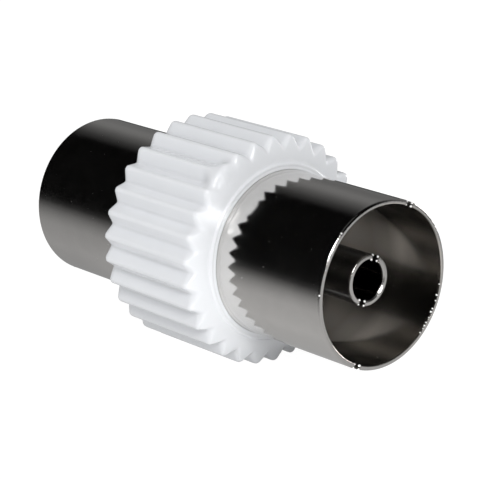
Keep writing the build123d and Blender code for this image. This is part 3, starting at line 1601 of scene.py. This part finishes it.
@dataclass(frozen=True)
class GlintSpot:
    """A narrow beam that falls on one place of the grip's end face.

    Attributes:
        target: The place in millimetres.
        way: Direction the beam comes from.
        distance: Distance of the lamp from the place, in metres.
        cone: Full angle of the beam, in degrees.
        power: Power in watts.
        lamp_radius: Half the width of the lamp, in metres.
    """

    target: tuple[float, float, float] = (4.15, -5.30, 2.72)
    way: tuple[float, float, float] = (0.60, -0.74, 0.30)
    distance: float = 0.07
    cone: float = 1.1
    power: float = 0.10
    lamp_radius: float = 0.0004

    def build(self) -> bpy.types.Object:
        """Makes the spot lamp, aimed at its place.

        Returns:
            The lamp.
        """
        data = bpy.data.lights.new("glint_spot", "SPOT")
        data.spot_size = math.radians(self.cone)
        data.spot_blend = 1.0
        data.shadow_soft_size = self.lamp_radius
        data.energy = self.power
        way = Vector(self.way).normalized()
        return place_aimed("glint_spot", data, Vector(self.target) * MM + way * self.distance, way)


@dataclass
class Studio:
    """Plain pale floor, soft lights and the dim room that the plating mirrors.

    Attributes:
        sizes: Sizes from the frame.
        floor_size: Side of the floor in metres.
        room_dark: Brightness of the dark side of the room.
        room_dim: Brightness of the wall behind the object.
        pool: Brightness of the lit floor round the object, as the plating mirrors it.
        backdrop: Brightness of the background that the camera sees.
        floor_colour: Colour of the floor that the camera sees.
        floor_glow: Brightness of that floor's own light, as a multiple of the background's.
        glow_share: Share of that light in what the camera sees of the floor.
        floor_light: Brightness of the floor's glow on its lit side, as it lights the object from below.
        bright_patch: Brightness that a painted patch of light on the floor in front of the mouth adds.
        patch_middle: Place of the patch, in metres along the axis and across it.
        shade_middle: Place of the painted shade behind the patch.
        room_light: Mean brightness of the soft light from all round.
        room_slant: How much brighter that light is on the camera's side, and darker opposite.
        bright_way: Direction in which that light is brightest.
        dim_way: Direction in which it is dimmed.
        lights: The lamps.
    """

    sizes: FrameSizes
    floor_size: float = 4.0
    room_dark: float = 0.0015
    room_dim: float = 0.19
    pool: float = 0.50
    backdrop: float = 1.0
    floor_colour: tuple[float, float, float] = (0.80, 0.80, 0.79)
    floor_glow: float = 1.2
    glow_share: float = 0.8
    floor_light: float = 0.91
    bright_patch: float = 8.5
    patch_middle: tuple[float, float] = (0.018, -0.003)
    shade_middle: tuple[float, float] = (0.035, -0.002)
    room_light: float = 0.47
    room_slant: float = 0.3
    bright_way: tuple[float, float, float] = (0.62, -0.68, 0.39)
    dim_way: tuple[float, float, float] = (0.40, 0.90, -0.17)
    lights: tuple[Softbox | GlintSpot, ...] = (
        Softbox("top_light", azimuth=-20.0, elevation=70.0, distance=0.5, size=0.30, power=0.02),
        Softbox("camera_light", azimuth=56.0, elevation=30.0, distance=0.6, size=0.20, power=1.75),
        Softbox("back_light", azimuth=180.0, elevation=8.0, distance=0.6, size=0.2, power=1.0),
        Softbox("key_light", azimuth=99.5, elevation=2.5, distance=0.5, size=0.03, power=0.10),
        GlintSpot(),
    )

    def _mirrored_floor(self, nodes: Nodes, east: object, away: object) -> bpy.types.NodeSocket:
        """Makes the pool of light that the plating mirrors.

        Args:
            nodes: The material's nodes.
            east: Socket of the place along the axis, in metres.
            away: Socket of the distance across the axis, in decimetres.

        Returns:
            The shader's socket.
        """
        left = nodes.math("MULTIPLY", east, -10.0)
        pool = nodes.math("MULTIPLY", nodes.ramp(away, POOL_ACROSS), nodes.ramp(left, POOL_ALONG))
        return nodes.add("ShaderNodeEmission", Strength=nodes.math("MULTIPLY", pool, self.pool)).outputs[0]

    def _round_spot(
        self,
        nodes: Nodes,
        east: object,
        north: object,
        middle: tuple[float, float],
        reach: float,
        stops: Sequence[tuple[float, float]],
    ) -> bpy.types.NodeSocket:
        """Makes a round spot on the floor that changes from its middle outwards.

        Args:
            nodes: The material's nodes.
            east: Socket of the place along the axis, in metres.
            north: Socket of the place across it.
            middle: Place of its middle, in metres.
            reach: Distance from the middle, in metres, that counts as 1.
            stops: Squares of distances, and greys.

        Returns:
            The grey's socket.
        """
        x, y = middle
        apart = nodes.squares(
            nodes.math("MULTIPLY_ADD", east, 1 / reach, -x / reach),
            nodes.math("MULTIPLY_ADD", north, 1 / reach, -y / reach),
        )
        return nodes.ramp(apart, stops)

    def _lit_floor(self, nodes: Nodes, east: object, north: object, away: object) -> bpy.types.NodeSocket:
        """Makes the floor that lights the object from below.

        It glows, with painted light on the camera's side and on +X, brightest in a painted patch in front
        of the mouth, with a painted shadow of the object on its +Y side, painted shade near the axis, and
        painted shade behind that patch.

        Args:
            nodes: The material's nodes.
            east: Socket of the place along the axis, in metres.
            north: Socket of the place across it.
            away: Socket of the distance across the axis, in decimetres.

        Returns:
            The shader's socket.
        """
        # Painted shadow: dark on the +Y side of the object, short of the mouth.
        beyond = nodes.math("MULTIPLY_ADD", east, 0.35, nodes.math("MULTIPLY", north, 0.94))
        short = nodes.math("SUBTRACT", 0.014, nodes.math("MULTIPLY_ADD", north, 0.5, east))
        hidden = nodes.math("MULTIPLY_ADD", nodes.math("MINIMUM", beyond, short), 100.0, 0.1)
        # Painted shade: darker close under the axis, though not ahead of the mouth.
        ahead = nodes.math("MULTIPLY", nodes.math("SUBTRACT", east, 0.010), 20.0)
        near = nodes.ramp(nodes.math("MAXIMUM", away, ahead), [(0.0, 0.6), (0.16, 1.0)])
        lit = nodes.math("MULTIPLY", nodes.ramp(hidden, [(0.0, 1.0), (0.5, 0.06)]), near)
        # Painted shade behind the patch.
        shade = self._round_spot(
            nodes, east, north, self.shade_middle, 0.02, [(0.0, 0.15), (0.4, 0.2), (0.9, 1.0)]
        )
        lit = nodes.math("MULTIPLY", lit, shade)
        # Painted pool of light in front of the mouth.
        patch = self._round_spot(
            nodes, east, north, self.patch_middle, 0.01, [(0.0, 1.0), (0.15, 0.7), (0.6, 0.0)]
        )
        lit = nodes.math("MULTIPLY_ADD", patch, self.bright_patch, lit)
        bounce = nodes.add("ShaderNodeEmission", Strength=nodes.math("MULTIPLY", lit, self.floor_light))
        return bounce.outputs[0]

    def _floor_material(self) -> bpy.types.Material:
        """Makes the floor pale to the eye, lit as it lights the object, and a pool in reflections.

        Returns:
            The material.
        """
        made = bpy.data.materials.new("pale_floor")
        made.use_nodes = True
        nodes = Nodes(made.node_tree)
        sight = nodes.add("ShaderNodeLightPath")
        place = nodes.add("ShaderNodeTexCoord").outputs["Object"]
        split = nodes.add("ShaderNodeSeparateXYZ", Vector=place)
        east, north = split.outputs["X"], split.outputs["Y"]
        near_side, far_side = nodes.math("MULTIPLY", north, -10.0), nodes.math("MULTIPLY", north, 3.0)
        away = nodes.math("MAXIMUM", near_side, far_side)
        diffuse = nodes.add("ShaderNodeBsdfDiffuse", Color=opaque(self.floor_colour)).outputs[0]
        glow = nodes.add("ShaderNodeEmission", Strength=self.floor_glow * self.backdrop).outputs[0]
        pale = nodes.blend(self.glow_share, diffuse, glow)
        bounce = self._lit_floor(nodes, east, north, away)
        looked_at = nodes.blend(sight.outputs["Is Camera Ray"], bounce, pale)
        pooled = self._mirrored_floor(nodes, east, away)
        seen = nodes.blend(sight.outputs["Is Glossy Ray"], looked_at, pooled)
        nodes.add("ShaderNodeOutputMaterial", Surface=seen)
        return made

    def _floor(self) -> bpy.types.Object:
        """Makes the floor under the grip's lowest teeth.

        Returns:
            The floor.
        """
        half = self.floor_size / 2
        z = self.sizes.floor_z * MM
        mesh = bpy.data.meshes.new("floor")
        corners = [(x * half, y * half, z) for x, y in ((-1, -1), (1, -1), (1, 1), (-1, 1))]
        mesh.from_pydata(corners, [], [range(4)])
        mesh.materials.append(self._floor_material())
        floor = bpy.data.objects.new("floor", mesh)
        bpy.context.scene.collection.objects.link(floor)
        return floor

    def _mirrored_room(self, nodes: Nodes, split: bpy.types.Node) -> bpy.types.NodeSocket:
        """Makes the dark room and its dim wall that the plating mirrors.

        Args:
            nodes: The world's nodes.
            split: Node with the direction's coordinates.

        Returns:
            The brightness's socket.
        """
        x, y = split.outputs["X"], split.outputs["Y"]
        behind = nodes.math("MULTIPLY_ADD", x, -0.30, nodes.math("MULTIPLY", y, 0.95))
        wall = nodes.ramp(nodes.math("MULTIPLY_ADD", behind, 0.5, 0.5), WALL)
        return nodes.math("MULTIPLY_ADD", wall, self.room_dim - self.room_dark, self.room_dark)

    def _soft_fill(self, nodes: Nodes, way: object, split: bpy.types.Node) -> bpy.types.NodeSocket:
        """Makes the soft light from all round, brighter on the camera's side and dim behind and on +X.

        Args:
            nodes: The world's nodes.
            way: Socket of the direction.
            split: Node with the direction's coordinates.

        Returns:
            The brightness's socket.
        """
        toward = nodes.vector("DOT_PRODUCT", way, 1, self.bright_way).outputs["Value"]
        fill = nodes.math("MULTIPLY_ADD", toward, self.room_slant, self.room_light)
        aside = nodes.vector("DOT_PRODUCT", way, 1, self.dim_way).outputs["Value"]
        dimmed = nodes.ramp(aside, [(0.0, 1.0), (0.35, 0.9), (0.7, 0.5), (0.85, 0.6)])
        ahead = nodes.ramp(split.outputs["X"], [(0.0, 1.0), (0.6, 1.0), (0.78, 0.1)])
        return nodes.math("MULTIPLY", nodes.math("MULTIPLY", fill, dimmed), ahead)

    def _world(self) -> None:
        """Makes the room: pale to the eye, a soft fill, and dark with a dim wall in reflections."""
        world = bpy.data.worlds.new("studio_room")
        bpy.context.scene.world = world
        world.use_nodes = True
        nodes = Nodes(world.node_tree)
        sight = nodes.add("ShaderNodeLightPath")
        way = nodes.add("ShaderNodeTexCoord").outputs["Generated"]
        split = nodes.add("ShaderNodeSeparateXYZ", Vector=way)
        fill = self._soft_fill(nodes, way, split)
        looked_at = nodes.mix("FLOAT", sight.outputs["Is Camera Ray"], fill, self.backdrop)
        mirrored = self._mirrored_room(nodes, split)
        seen = nodes.mix("FLOAT", sight.outputs["Is Glossy Ray"], looked_at, mirrored)
        light = nodes.add("ShaderNodeBackground", Color=(1.0, 1.0, 1.0, 1.0), Strength=seen)
        nodes.add("ShaderNodeOutputWorld", Surface=light.outputs[0])

    def build(self) -> None:
        """Makes the floor, the room and the lights."""
        self._floor()
        self._world()
        for light in self.lights:
            light.build()
        bpy.context.scene.view_settings.view_transform = "Standard"


def main() -> None:
    """Builds and dresses every piece, then the studio and the camera."""
    sizes = FrameSizes.from_frame()
    log.info("sizes from the frame: %s", sizes)
    for part in (OuterTube(sizes), CentreContact(sizes), Insulator(sizes), Grip(sizes), SawBurrs(sizes)):
        piece = part.build()
        part.dress(piece)
        log.info("%s: %d faces, %s", piece.name, len(piece.data.polygons), piece.active_material.name)
    Studio(sizes).build()
    PhotoCamera().build()


if __name__ == "__main__":
    main()
